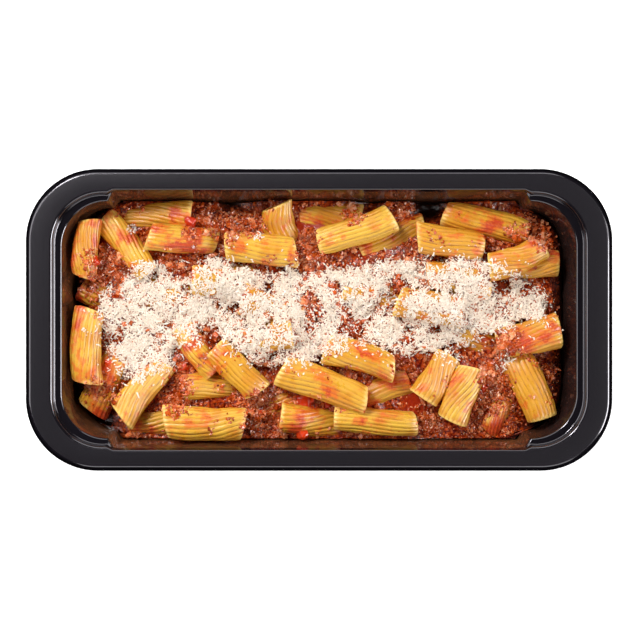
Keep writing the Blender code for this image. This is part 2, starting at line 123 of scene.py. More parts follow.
# Ends of each tube's axis from above in millimetres, its layer, its width from above in
# millimetres, and how saucy it is, from 0 to 1
RIGATONI = [Piece(*row) for row in (
    # Left end, from the far wall to the near wall
    (-91.5, 49.5, -60, 51.5, 2, 12.4, 0.15), (-100.5, 49, -80.5, 23.5, 2, 12.4, 0.3),
    (-107, 46, -110, 20.5, 2, 11.4, 0.6), (-80, 39, -49.5, 37, 2, 12.6, 0.5),
    (-112, 15.5, -82, 0.5, 1, 14.4, 0.55), (-107.5, 4.5, -108.5, -29, 2, 14.4, 0.4),
    (-107, -42.5, -93, -14, 1, 14.4, 0.75), (-92.5, -45.5, -73, -22, 2, 13.6, 0.25),
    (-90.5, -48.5, -62.5, -49, 1, 12.6, 0.45),
    # Left of the middle, near side
    (-71.5, -47.5, -35.5, -48.5, 2, 15.4, 0.3), (-64, -32, -38.5, -31, 2, 12.0, 0.5),
    (-64, -4, -49, -24.5, 2, 11.6, 0.6), (-62.5, -17, -59, 9, 0, 14.4, 0.5),
    (-48.5, -13.5, -28.5, -33, 2, 13.2, 0.25), (-31.5, -45, -8, -37, 1, 12.4, 0.5),
    (-18.5, -46.5, 8, -50, 1, 13.6, 0.55),
    # Middle, near side
    (7.5, -45.5, 45, -49, 2, 11.8, 0.4), (-17.5, -24, 21.5, -38, 2, 14.8, 0.2),
    (3.5, -14, 34.5, -23, 2, 13.6, 0.3), (20, -37, 42, -28.5, 1, 13.6, 0.5),
    # Right end, near side
    (48.5, -36.5, 60.5, -18, 2, 14.0, 0.35), (62.5, -47, 71.5, -23, 2, 14.4, 0.3),
    (60.5, -21, 74.5, 1, 1, 13.6, 0.4), (65.5, -5.5, 90.5, -16, 1, 14.4, 0.7),
    (79.5, -53, 87, -38, 0, 11.0, 0.8), (92.5, -18.5, 105, -46, 2, 15.6, 0.12),
    (84, -11, 112, -5, 2, 15.0, 0.4),
    # Right end, far side
    (59, 50, 97.5, 41, 2, 13.0, 0.35), (46, 39, 76, 34, 2, 13.6, 0.3),
    (58.5, 21, 83.5, 31, 1, 12.8, 0.6), (87.5, 25.5, 112.5, 26.5, 1, 13.6, 0.7),
    (80, 24.5, 104, 34, 2, 12.8, 0.5),
    # Middle, far side
    (-19.5, 55, -16, 38, 2, 15.0, 0.3), (-43.5, 34.5, -11.5, 31.5, 2, 14.0, 0.35),
    (-8, 51, 19, 50.5, 1, 12.6, 0.3), (19, 34.5, 48.5, 44, 1, 13.2, 0.35),
    (0, 36.5, 34, 47.5, 2, 13.0, 0.1), (-6.5, 24, 18.5, 24.5, 0, 14.4, 0.5),
    # Under the cheese, from left to right
    (-81.5, 13, -53.5, 9, 1, 14.4, 0.4), (-59.5, 18.5, -30.5, 19.5, 1, 14.4, 0.4),
    (-36, 10.5, -11, 1.5, 1, 14.4, 0.4), (-41, -11, -12.5, -7, 1, 14.4, 0.4),
    (12, 15, 39, 8.5, 1, 14.4, 0.4), (37, 8.5, 66, 3.5, 1, 14.4, 0.4),
    (46, -25.5, 57, 2.5, 0, 14.4, 0.4), (51, 21, 79.5, 16.5, 1, 14.4, 0.4),
    (82.5, 14.5, 104, 26, 0, 14.4, 0.4),
)]

# Each row of the tables of spots is x, y, radius and strength, all but the last in millimetres

# Where the sauce sinks beside the wall and the black tray shows, with how deep in millimetres
DIPS = [
    (-114, 49, 11, 10), (-42, 61, 11, 8), (24, 60, 8, 6), (52, 54, 8, 9), (111, 56, 11, 10),
    (-115, 5, 7, 7), (-108, -52, 13, 10), (108, -53, 10, 9),
]

# Outline of the cheese seen from above, in millimetres, counter-clockwise from its left end
CHEESE_OUTLINE = [
    (-100, 0), (-100, -15), (-90, -29), (-78, -27), (-67, -21), (-63, -14), (-49, -9),
    (-41, -10), (-33, -20), (-25, -22), (-14, -19), (-1, -19), (8, -13), (24, -12),
    (36, -14), (41, -18), (52, -13), (64, -20), (73, -7), (85, -5), (96, -1), (107, 0),
    (110, 8), (103, 15), (92, 20), (82, 25), (70, 29), (58, 31), (48, 29), (38, 27),
    (24, 27), (10, 24), (-4, 22), (-18, 24), (-27, 21), (-38, 26), (-48, 30), (-57, 24),
    (-66, 16), (-75, 27), (-86, 26), (-93, 17), (-101, 14), (-104, 7),
]

# Holes in the cheese where the meat sauce shows
CHEESE_HOLES = [
    (-51, -9, 5, 0.9), (18, -5, 7, 0.6), (-5, 9, 5, 0.8), (34, 8, 6, 0.6), (38, 16, 5, 0.9),
    (56, 27, 5, 0.7), (85, 17, 5, 0.9), (-96, -9, 4, 0.5), (-64, -14, 5, 0.8), (-22, 13, 3, 0.5),
]

# Loose cheese beside the drift
STRAYS = [
    (-109, -5, 2, 0.5), (-87.5, 43, 2.4, 0.6), (-65, 28, 2, 0.4), (-50, 27, 3.5, 0.7),
    (-28, 39, 2.2, 0.7), (-15, 23, 2.5, 0.7), (87.5, -17.5, 3.5, 0.6), (85, -22, 2, 0.6),
    (-38, 38, 1.5, 0.3),
]

# Mounds of mince that cover whatever lies under them
MINCE_MOUNDS = [
    (-49, 47.5, 8.5, 1), (-38, 49, 8, 1), (-31, 44.5, 6, 0.9), (-44, 41, 6, 0.9), (-5, 37, 6, 1),
    (-5, 29, 6, 1), (-66, -31, 7, 0.9), (-67, -39, 6, 0.9), (-27, -40, 7, 0.9), (-27, -49.5, 8, 1),
    (82, -28.5, 8, 1), (82, -37, 7, 1), (51, -48, 5, 1), (104, 44.5, 8, 1), (106, 37.5, 6, 1),
    (-100.5, 27, 8, 1), (-93.5, 21, 6, 0.9), (-109.5, 45.5, 3, 0.8), (-116, 33.5, 2.5, 0.6),
    (-107.5, 14, 7, 0.5), (-103, -35, 9, 0.6), (-60, 41, 4, 0.8), (17, 49, 5, 0.9),
    (40, 51.5, 5, 1), (87, -9, 7, 1), (91, 41.5, 4, 0.6), (-110, 30, 4, 0.7),
    (-41.5, -46, 2.5, 0.3),
]

# Pools of smooth sauce without mince
POOLS = [
    (-102, 38, 9, 1), (-3, 44, 8, 1), (22, 34, 4, 1), (47, -38, 8.5, 0.85), (80, 42, 4, 1),
]

# Places on the tubes that sauce has stained
STAINS = [
    (-60.5, 46, 4, 1), (-59, 38, 7, 0.8), (7, -36, 5, 0.8), (22, -46, 6, 0.7), (67, -39, 5, 0.6),
    (99, -21, 4, 0.5), (102, -44, 2.5, 0.8), (-69, 50.5, 2.5, 0.9), (-92, 40, 5, 0.6),
    (-16, 34, 4, 0.8), (78, 43, 5, 0.8), (60, 40, 5, 0.4), (25, -15, 5, 0.6), (-110, -20, 6, 0.5),
    (-36, -20, 4, 0.5), (92, -10, 7, 0.8),
]

# Bright pieces of tomato
TOMATOES = [
    (-105, 27, 2.4, 1), (-60.5, 46, 2.6, 1), (-21.5, 22, 2.2, 1), (-7, -38.5, 2.8, 1),
    (-4, -37, 1.9, 1), (-8, -53, 2.4, 1), (-64, -22.5, 2.2, 1), (77.5, -32, 1.9, 1),
    (4, -40, 1.6, 1), (-27, -43, 1.6, 1), (-99, -20, 1.7, 1),
]


def srgb(red, green, blue):
    """Linear colour of an 8-bit one."""
    parts = []
    for value in (red, green, blue):
        share = value / 255
        parts.append(share / 12.92 if share <= 0.04045 else ((share + 0.055) / 1.055) ** 2.4)
    return (*parts, 1.0)


def distances(spots, x, y):
    """For each spot, how many radii away each place is, and the spot's strength."""
    for spot_x, spot_y, radius, strength in spots:
        yield np.hypot(x - spot_x * MM, y - spot_y * MM) / (radius * MM), strength


def nearness(spots, x, y):
    """How far each place is into any of the spots: strength at a middle, 0 outside."""
    most = np.zeros(np.shape(x))
    for away, strength in distances(spots, x, y):
        most = np.maximum(most, strength * np.clip(1.7 - away * 1.3, 0, 1))
    return most


def noise_at(x, y, z, size):
    """Noise between about -1 and 1 at each place, with features of this size."""
    places = zip(*(np.ravel(part) / size for part in np.broadcast_arrays(x, y, z)))
    values = [noise.noise(Vector(place)) for place in places]
    return np.reshape(values, np.shape(x))


# Tray

Section = namedtuple("Section", "length width bay corner z bay_z")


def jog_start(section):
    """Where along the long side the wall starts to jog outwards."""
    return min(JOG_STATION, section.length - section.corner - JOG_TO_CORNER)


def ring(section, arc_steps, side_steps, end_steps):
    """Points round one section: a rounded rectangle whose long sides jog outwards."""
    centre_x = section.length - section.corner
    centre_y = section.width - section.corner
    jog = jog_start(section)
    quarter = []
    for step in range(end_steps):
        quarter.append((section.length, centre_y * step / end_steps, section.z))
    for step in range(arc_steps + 1):
        angle = math.pi / 2 * step / arc_steps
        x = centre_x + section.corner * math.cos(angle)
        y = centre_y + section.corner * math.sin(angle)
        quarter.append((x, y, section.z))
    quarter.append((jog, section.width, section.z))
    for step in range(side_steps + 1):
        x = (jog - JOG_RUN) * (1 - step / side_steps)
        quarter.append((x, section.bay, section.bay_z))
    far_left = [(-x, y, z) for x, y, z in reversed(quarter[:-1])]
    near_left = [(-x, -y, z) for x, y, z in quarter[1:]]
    near_right = [(x, -y, z) for x, y, z in reversed(quarter[1:-1])]
    return np.array(quarter + far_left + near_left + near_right)


def fillet_inset(z):
    """How far the base fillet pulls the wall in at this height."""
    above_floor = max(z - PLASTIC, 0.0)
    if above_floor >= BASE_FILLET:
        return 0.0
    return BASE_FILLET - math.sqrt(BASE_FILLET ** 2 - (BASE_FILLET - above_floor) ** 2)


LEDGE_Z = TRAY_HEIGHT - STEP_DEPTH
FLANGE_OUTER = SKIRT_FLARE + RIM_BEND
EDGE_LENGTH = TRAY_LENGTH / 2 - FLANGE_OUTER - FLANGE_AT_ENDS
EDGE_WIDTH = TRAY_WIDTH / 2 - FLANGE_OUTER - FLANGE_AT_CORNER_SIDES
EDGE_BAY = TRAY_WIDTH / 2 - FLANGE_OUTER - FLANGE_AT_BAY
LEDGE_LENGTH = EDGE_LENGTH - STEP_SLOPE - LEDGE_AT_ENDS
LEDGE_WIDTH = EDGE_WIDTH - STEP_SLOPE - LEDGE_AT_SIDES


def bay_width(z):
    """Half width of the tray's inside between the jogs."""
    return EDGE_BAY - (TRAY_HEIGHT - z) * math.tan(BAY_DRAFT) - fillet_inset(z)


def inside(z, gap=0.0):
    """Section of the tray's inside at a height below the ledge, shrunk by a gap."""
    draft = (LEDGE_Z - z) * math.tan(WALL_DRAFT)
    inset = draft + fillet_inset(z) + gap
    corner = LEDGE_CORNER - 0.35 * draft - 0.5 * fillet_inset(z)
    return Section(LEDGE_LENGTH - inset, LEDGE_WIDTH - inset, bay_width(z) - gap, corner, z, z)


def skirt_section(inset, z):
    """Section of the skirt and the flange's outer edge, which have no jog."""
    width = TRAY_WIDTH / 2 - inset
    return Section(TRAY_LENGTH / 2 - inset, width, width, TRAY_CORNER - inset, z, z)


def edge_section(inset, drop, bay_drop):
    """Section of the flange's inner edge and the step under it."""
    bay_z = TRAY_HEIGHT - bay_drop
    length = EDGE_LENGTH - inset
    width = EDGE_WIDTH - inset
    return Section(length, width, bay_width(bay_z), EDGE_CORNER - inset, TRAY_HEIGHT - drop, bay_z)


def between(first, second, share):
    """A section part of the way from one to another."""
    return Section(*(a + (b - a) * share for a, b in zip(first, second)))


def profile_distance(first, second):
    """Distance between two sections measured along the tray's end wall."""
    return max(math.hypot(first.length - second.length, first.z - second.z), 0.05 * MM)


def rounded(sections, radii):
    """The profile with each bend rounded off by the radius given for it."""
    made = [sections[0]]
    for before, here, after, radius in zip(sections, sections[1:], sections[2:], radii):
        into = min(0.45, radius / profile_distance(before, here))
        out = min(0.45, radius / profile_distance(here, after))
        start = between(here, before, into)
        finish = between(here, after, out)
        for step in range(BEND_STEPS + 1):
            share = step / BEND_STEPS
            first = between(start, here, share)
            second = between(here, finish, share)
            made.append(between(first, second, share))
    made.append(sections[-1])
    return made


def tray_sections():
    """Every section of the tray's upper surface, from the skirt's lip to the flat base."""
    ledge = inside(LEDGE_Z)
    bends = [
        skirt_section(0.0, TRAY_HEIGHT - SKIRT_DROP),
        skirt_section(SKIRT_FLARE, TRAY_HEIGHT),
        edge_section(0.0, 0.0, 0.0),
        edge_section(STEP_SLOPE, STEP_DEPTH, 0.5 * STEP_DEPTH),
        ledge._replace(bay=bay_width(LEDGE_Z), bay_z=LEDGE_Z),
        inside(PLASTIC + BASE_FILLET),
    ]
    sections = rounded(bends, BEND_RADII)
    for step in range(1, FILLET_STEPS + 1):
        angle = math.pi / 2 * step / FILLET_STEPS
        sections.append(inside(PLASTIC + BASE_FILLET * (1 - math.sin(angle))))
    return sections


# Meshes

def new_piece(name, points, faces, finish, tones=None, smooth=True):
    """A mesh object from points and faces of one number of sides, with a tone per point."""
    mesh = bpy.data.meshes.new(name)
    points = np.asarray(points, np.float32)
    faces = np.asarray(faces, np.int32)
    mesh.vertices.add(len(points))
    mesh.vertices.foreach_set("co", points.ravel())
    mesh.loops.add(faces.size)
    mesh.loops.foreach_set("vertex_index", faces.ravel())
    mesh.polygons.add(len(faces))
    mesh.polygons.foreach_set("loop_start", np.arange(0, faces.size, faces.shape[1], dtype=np.int32))
    mesh.polygons.foreach_set("use_smooth", np.full(len(faces), smooth))
    mesh.update(calc_edges=True)
    if tones is not None:
        layer = mesh.color_attributes.new("tone", "FLOAT_COLOR", "POINT")
        layer.data.foreach_set("color", np.asarray(tones, np.float32).ravel())
    mesh.materials.append(finish)
    piece = bpy.data.objects.new(name, mesh)
    bpy.context.scene.collection.objects.link(piece)
    return piece


def ring_faces(rows, count, closed_rows=False):
    """Quads between successive rings of one count."""
    first = np.arange(rows if closed_rows else rows - 1)[:, None] * count
    second = (first + count) % (rows * count)
    here = np.arange(count)[None, :]
    following = (here + 1) % count
    quads = np.stack([first + here, first + following, second + following, second + here], -1)
    return quads.reshape(-1, 4)


def build_tray():
    """The tray as a thin shell with rounded bends."""
    rings = [ring(section, *TRAY_STEPS) for section in tray_sections()]
    count = len(rings[0])
    base = rings[-1]
    for scale in (0.9, 0.6, 0.3, 0.02):
        rings.append(base * (scale, scale, 1.0))
    points = np.concatenate(rings)
    tray = new_piece("tray_shell", points, ring_faces(len(rings), count), tray_finish())
    shell = tray.modifiers.new("plastic", "SOLIDIFY")
    shell.thickness = PLASTIC
    shell.offset = -1.0
    shell.use_even_offset = False
    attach(tray, "root")
    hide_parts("tray")


# Placing food

def sinking(x, y):
    """How far the sauce sinks beside the wall at each place."""
    depth = END_SINK * np.clip((np.abs(x) - END_SINK_START) / END_SINK_RUN, 0, 1)
    for away, dip in distances(DIPS, x, y):
        depth = depth + dip * MM * np.exp(-away * away)
    return depth


def keep_inside(x, y, z, gap):
    """A place moved in where it would come closer to the tray's wall than the gap."""
    section = inside(min(max(z, PLASTIC + gap), LEDGE_Z), gap)
    new_x = min(abs(x), section.length)
    share = min(max((new_x - jog_start(section)) / JOG_RUN + 1.0, 0.0), 1.0)
    new_y = min(abs(y), section.bay + (section.width - section.bay) * share)
    past_x = new_x - (section.length - section.corner)
    past_y = new_y - (section.width - section.corner)
    reach = math.hypot(past_x, past_y)
    if past_x > 0 and past_y > 0 and reach > section.corner:
        new_x = section.length - section.corner + past_x * section.corner / reach
        new_y = section.width - section.corner + past_y * section.corner / reach
    return math.copysign(new_x, x), math.copysign(new_y, y)


def inside_food(x, y):
    """Whether each place is well inside the tray's wall at the sauce's height."""
    section = inside(SAUCE_AT_WALL, 1.2 * MM)
    past_x = np.abs(x) - (section.length - section.corner)
    past_y = np.abs(y) - (section.width - section.corner)
    corner = (past_x > 0) & (past_y > 0) & (np.hypot(past_x, past_y) > section.corner)
    wide = np.abs(x) > jog_start(section) - JOG_RUN
    width = np.where(wide, section.width, section.bay)
    return (np.abs(x) < section.length) & (np.abs(y) < width) & ~corner


def nearest_in_plan(first, second):
    """Smallest plan distance of two axes, and where along each it lies, from 0 to 1."""
    start = Vector((second.x0, second.y0))
    along = Vector((second.x1, second.y1)) - start
    best = (math.inf, 0.0, 0.0)
    for step in range(PLAN_SAMPLES + 1):
        share = step / PLAN_SAMPLES
        x = first.x0 + (first.x1 - first.x0) * share
        y = first.y0 + (first.y1 - first.y0) * share
        other = (Vector((x, y)) - start).dot(along) / along.length_squared
        other = min(max(other, 0.0), 1.0)
        distance = (start + along * other - Vector((x, y))).length
        best = min(best, (distance, share, other))
    return best


def settle(pieces):
    """Heights of both ends of every axis, pushed apart until crossing tubes stack."""
    heights = [[LAYER_HEIGHTS[piece.layer]] * 2 for piece in pieces]
    touching = []
    for upper in range(len(pieces)):
        for lower in range(len(pieces)):
            over = pieces[upper].layer - pieces[lower].layer
            if over < 0 or (over == 0 and upper <= lower):
                continue
            distance, share, other = nearest_in_plan(pieces[upper], pieces[lower])
            if distance * MM < TUBE_DIAMETER:
                rise = math.sqrt(TUBE_DIAMETER ** 2 - (distance * MM) ** 2) * SETTLE_SQUASH
                touching.append((upper, share, lower, other, rise))
    for _ in range(SETTLE_STEPS):
        for upper, share, lower, other, rise in touching:
            high, low = heights[upper], heights[lower]
            now = high[0] * (1 - share) + high[1] * share - low[0] * (1 - other) - low[1] * other
            push = SETTLE_PUSH * max(rise - now, 0.0)
            high[0] += push * (1 - share)
            high[1] += push * share
            low[0] -= push * (1 - other)
            low[1] -= push * other
        for piece, ends in zip(pieces, heights):
            target = LAYER_HEIGHTS[piece.layer]
            middle = (ends[0] + ends[1]) / 2
            for end in (0, 1):
                ends[end] += (middle - ends[end]) * SETTLE_LEVELLING
                ends[end] += (target - ends[end]) * SETTLE_RETURN
                ends[end] = min(max(ends[end], LOWEST_AXIS), HIGHEST_AXIS)
    return heights


# Rigatoni

RIDGES = 20
RIDGE_STEPS = np.array((0.0, 0.17, 0.5, 0.83))
RIDGE_CRESTS = np.array((0.0, 0.85, 1.0, 0.85))
RIDGE_DEPTH = 0.7 * MM
ROUND_POINTS = RIDGES * len(RIDGE_STEPS)
OUTER_RINGS = 13
INNER_RINGS = 4
TUBE_WALL = 1.5 * MM
LIP = 0.3 * MM
LIP_SHARE = 0.012
OVERHANG = 1.0 * MM
SQUARENESS = 2.4


def tube_arrays(piece, heights):
    """Points, quads and tones of one ridged, slightly bent and flattened tube."""
    start = np.array((piece.x0 * MM, piece.y0 * MM, heights[0]))
    finish = np.array((piece.x1 * MM, piece.y1 * MM, heights[1]))
    axis = finish - start
    length = np.linalg.norm(axis)
    along = axis / length
    side = np.cross(along, (0, 0, 1.0))
    side /= np.linalg.norm(side)
    up = np.cross(side, along)
    wide = piece.width * MM / TUBE_DIAMETER
    taper = rng.uniform(-0.09, 0.09)
    pinch = rng.uniform(-0.02, 0.12, 2)
    bend = rng.uniform(-1.7, 1.7) * MM
    sag = rng.uniform(-0.9, 0.2) * MM
    flat = rng.uniform(0.05, 0.18)
    end_flat = rng.uniform(0.1, 0.34, 2)
    twist = rng.uniform(-1.2, 1.2)
    phase = rng.uniform(0, math.tau)
    slant = rng.uniform(-1.9, 1.9, 2) * MM
    wobble = rng.uniform(0, 100)
    grid = (np.arange(RIDGES)[:, None] + RIDGE_STEPS[None, :]).ravel() / RIDGES * math.tau
    crest = np.tile(RIDGE_CRESTS, RIDGES)
    worn = np.repeat(rng.uniform(0.55, 1.0, RIDGES), len(RIDGE_STEPS))

    def one_ring(share, shrink, ridged):
        """A ring at this share of the length, drawn in by shrink."""
        angle = grid + phase + twist * share + 0.09 * math.sin(6 * share + wobble)
        to_start = max(0.0, 1 - share * 4) ** 2
        to_end = max(0.0, 1 - (1 - share) * 4) ** 2
        flatten = flat + end_flat[0] * to_start + end_flat[1] * to_end
        cosine, sine = np.cos(angle), np.sin(angle)
        soft = noise_at(cosine, sine, share * 3 + wobble, 0.9)
        radius = (TUBE_DIAMETER / 2 - shrink) * (1 + 0.11 * soft)
        narrow = 1 + taper * (2 * share - 1) - pinch[0] * to_start - pinch[1] * to_end
        if ridged:
            radius = radius + RIDGE_DEPTH * worn * (crest - 0.7)
        squared = (np.abs(cosine) ** SQUARENESS + np.abs(sine) ** SQUARENESS) ** (-1 / SQUARENESS)
        across = radius * squared * wide * narrow * cosine
        upward = radius * squared * (1 - flatten) * sine
        arch = 4 * share * (1 - share)
        skew = (slant[0] * cosine - OVERHANG * sine) * to_start
        skew = skew + (slant[1] * cosine + OVERHANG * sine) * to_end
        points = start + along * (length * share)
        points = points + np.outer(across + bend * arch, side)
        return points + np.outer(upward + sag * arch, up) + np.outer(skew, along)

    shares = np.linspace(0, 1, OUTER_RINGS)
    plan = [(0.0, LIP, True), (LIP_SHARE, 0.0, True)]
    plan += [(share, 0.0, True) for share in shares[1:-1]]
    plan += [(1 - LIP_SHARE, 0.0, True), (1.0, LIP, True)]
    plan += [(share, TUBE_WALL, False) for share in np.linspace(1, 0, INNER_RINGS)]
    rings = [one_ring(*step) for step in plan]
    tones = []
    for share, _, ridged in plan:
        # Tone per point: the crest height, which the finish paints as shade in the grooves, and a
        # high value on the end rings, which it paints as a paler cut lip with a painted highlight
        lip = ridged and not LIP_SHARE < share < 1 - LIP_SHARE
        groove_shade_and_lip_tone = np.full(ROUND_POINTS, 1.25) if lip else crest * worn + (1 - worn) * 0.8
        inner = np.full(ROUND_POINTS, 0.0 if ridged else 1.0)
        tones.append(np.stack([groove_shade_and_lip_tone, inner], 1))
    points = np.concatenate(rings)
    for _ in range(4):
        move = np.zeros(2)
        for x, y, z in points[::3]:
            new_x, new_y = keep_inside(x, y, z, 2 * FOOD_GAP)
            if math.hypot(new_x - x, new_y - y) > np.linalg.norm(move):
                move = np.array((new_x - x, new_y - y))
        points[:, :2] += move
    faces = ring_faces(len(rings), ROUND_POINTS, closed_rows=True)[:, ::-1]
    return points, faces, np.concatenate(tones)


def stain_of(points, amount, seed):
    """How sauced each point is: more low down, more on saucy tubes, in soft patches."""
    x, y, z = points.T
    patch = noise_at(x + seed, y, z, 8 * MM) + 0.6 * noise_at(x, y + seed, z, 3 * MM)
    low = np.clip((26 * MM - z) / (9 * MM), 0, 1)
    marked = nearness(STAINS, x, y)
    return np.clip(amount + patch * 1.1 + low * 0.5 + marked * 0.7 - 0.14, 0, 1)


def build_rigatoni():
    """All tubes, in an upper and a lower piece."""
    heights = settle(RIGATONI)
    groups = {"rigatoni_upper": [], "rigatoni_lower": []}
    for index, (piece, ends) in enumerate(zip(RIGATONI, heights)):
        points, faces, tones = tube_arrays(piece, ends)
        stain = stain_of(points, piece.sauce, index * 3.7)
        tint = np.full(len(points), rng.uniform(0, 1))
        tones = np.column_stack([tones[:, 0], stain, tint, tones[:, 1]])
        name = "rigatoni_upper" if piece.layer == 2 else "rigatoni_lower"
        groups[name].append((points, faces, tones))
    finish = pasta_finish()
    made = []
    for name, parts in groups.items():
        points, faces, tones = joined(parts)
        made.append(new_piece(name, points, faces, finish, tones))
    return made


def joined(parts):
    """One set of arrays from several."""
    offset = 0
    faces = []
    for points, quads, _ in parts:
        faces.append(quads + offset)
        offset += len(points)
    points = np.concatenate([part[0] for part in parts])
    tones = np.concatenate([part[2] for part in parts])
    return points, np.concatenate(faces), tones


# Sauce

def sauce_top(x, y):
    """Height of the sauce: crowned, bumpy, sunk beside the wall, with fine relief."""
    across = np.clip((2 * x / TRAY_LENGTH) ** 2 + (2 * y / TRAY_WIDTH) ** 2, 0, 1)
    height = SAUCE_AT_WALL + SAUCE_CROWN * (1 - across) - sinking(x, y)
    height = height + SAUCE_BUMP * noise_at(x, y, 0, SAUCE_BUMP_SIZE)
    rough = 1.1 * noise_at(x, y, 0, 3.6 * MM) + 0.6 * noise_at(x, y, 0, 1.6 * MM)
    height = height + rough * MM * (1 - 0.85 * nearness(POOLS, x, y))
    return np.maximum(height, 3 * MM)


def fitted(x, y, z):
    """Points moved in where they would come too close to the tray's wall."""
    places = zip(x, y, z)
    return np.array([(*keep_inside(*place, 2 * FOOD_GAP), place[2]) for place in places])


def build_sauce():
    """The meat sauce that fills the tray, with a fine uneven top."""
    floor = PLASTIC + FOOD_GAP
    edge = ring(inside(SAUCE_AT_WALL, FOOD_GAP), *SAUCE_STEPS)
    rings = []
    for scale in np.linspace(0.02, 0.99, SAUCE_RINGS):
        x, y = edge[:, 0] * scale, edge[:, 1] * scale
        rings.append(fitted(x, y, sauce_top(x, y)))
    tops = sauce_top(edge[:, 0], edge[:, 1])
    for level in SAUCE_SIDE_LEVELS:
        z = floor + level * (tops - floor)
        rings.append(fitted(edge[:, 0] * 1.1, edge[:, 1] * 1.1, z))
    points = np.concatenate(rings)
    faces = ring_faces(len(rings), len(edge))[:, ::-1]
    wet = nearness(POOLS, points[:, 0], points[:, 1])
    # Painted shade: the deeper the sauce sinks beside the wall, the darker its colour
    deep = np.clip(sinking(points[:, 0], points[:, 1]) / DARK_SINK, 0, 1)
    tones = np.column_stack([wet, deep, wet * 0, wet * 0 + 1])
    return new_piece("bolognese_sauce", points, faces, sauce_finish(), tones)


class Ground:
    """Height of what lies uppermost over a grid of small cells."""

    cell = 0.7 * MM

    def __init__(self, pieces):
        self.columns = int(TRAY_LENGTH / self.cell)
        self.rows = int(TRAY_WIDTH / self.cell)
        self.low_x = -self.columns * self.cell / 2
        self.low_y = -self.rows * self.cell / 2
        row, column = np.mgrid[0:self.rows, 0:self.columns]
        self.x = self.low_x + (column + 0.5) * self.cell
        self.y = self.low_y + (row + 0.5) * self.cell
        points, faces, owners = [], [], []
        for owner, piece in enumerate(pieces):
            first = len(points)
            points.extend(vert.co.copy() for vert in piece.data.vertices)
            for face in piece.data.polygons:
                faces.append([first + index for index in face.vertices])
                owners.append(owner)
        tree = BVHTree.FromPolygons(points, faces)
        self.height = np.full((self.rows, self.columns), PLASTIC)
        self.owner = np.full((self.rows, self.columns), -1)
        down = Vector((0, 0, -1))
        over = (np.abs(self.x) < LEDGE_LENGTH) & (np.abs(self.y) < EDGE_BAY)
        for cell in zip(*np.nonzero(over)):
            above = Vector((self.x[cell], self.y[cell], 2 * TRAY_HEIGHT))
            point, _, face, _ = tree.ray_cast(above, down)
            if face is not None:
                self.height[cell] = point.z
                self.owner[cell] = owners[face]
        self.bare = self.height.copy()

    def cells(self, x, y):
        """Row and column of each place."""
        row = np.clip(((y - self.low_y) / self.cell).astype(int), 0, self.rows - 1)
        column = np.clip(((x - self.low_x) / self.cell).astype(int), 0, self.columns - 1)
        return row, column

    def at(self, x, y):
        """Height at each place."""
        return self.height[self.cells(x, y)]

    def heap(self, x, y, rise):
        """Raise the ground a little at each place."""
        np.add.at(self.height, self.cells(x, y), rise)

    def relax(self):
        """Even out what has been heaped so far."""
        self.height = self.bare + soften(self.height - self.bare, 1)

    def scatter(self, weight, count):
        """Places drawn by weight over the ground."""
        share = (weight / weight.sum()).ravel()
        cells = rng.choice(share.size, count, p=share)
        jitter = rng.uniform(-0.5, 0.5, (2, count)) * self.cell
        return self.x.ravel()[cells] + jitter[0], self.y.ravel()[cells] + jitter[1]


def soften(field, reach, passes=1):
    """The field blurred over this many cells each way."""
    for axis in (0, 1) * passes:
        total = field.copy()
        for step in range(1, reach + 1):
            total += np.roll(field, step, axis) + np.roll(field, -step, axis)
        field = total / (2 * reach + 1)
    return field


# Loose grains

def ball(subdivisions):
    """Points and triangles of a small ball."""
    shape = bmesh.new()
    bmesh.ops.create_icosphere(shape, subdivisions=subdivisions, radius=1.0)
    points = np.array([vert.co[:] for vert in shape.verts])
    faces = np.array([[vert.index for vert in face.verts] for face in shape.faces])
    shape.free()
    return points, faces


def random_turns(count):
    """A random rotation for each of several things."""
    raw = rng.normal(size=(count, 4))
    w, x, y, z = (raw / np.linalg.norm(raw, axis=1, keepdims=True)).T
    return np.stack([
        np.stack([1 - 2 * (y * y + z * z), 2 * (x * y - z * w), 2 * (x * z + y * w)], -1),
        np.stack([2 * (x * y + z * w), 1 - 2 * (x * x + z * z), 2 * (y * z - x * w)], -1),
        np.stack([2 * (x * z - y * w), 2 * (y * z + x * w), 1 - 2 * (x * x + y * y)], -1),
    ], -2)


def lumps(centres, sizes, shape, roughness, stretch, flatness):
    """Uneven lumps of these sizes at these centres, as points, triangles and owner."""
    local, faces = shape
    count = len(centres)
    swell = 1 + roughness * rng.normal(size=(count, len(local), 1))
    grown = local[None] * np.clip(swell, 0.45, 1.7)
    grown = grown * rng.uniform(1 - stretch, 1 + stretch, (count, 1, 3))
    grown = np.einsum("nij,npj->npi", random_turns(count), grown)
    grown[:, :, 2] *= flatness
    points = centres[:, None] + grown * sizes[:, None, None]
    offsets = np.arange(count)[:, None, None] * len(local)
    owner = np.repeat(np.arange(count), len(local))
    return points.reshape(-1, 3), (faces[None] + offsets).reshape(-1, 3), owner


def grain_tones(owner, *values):
    """Tones per point from up to three values per grain."""
    columns = [value[owner] for value in values]
    while len(columns) < 3:
        columns.append(np.zeros(len(owner)))
    return np.column_stack(columns + [np.ones(len(owner))])


MINCE_LUMPS = 900
MINCE_GRAINS = 9000
MINCE_BATCHES = 6


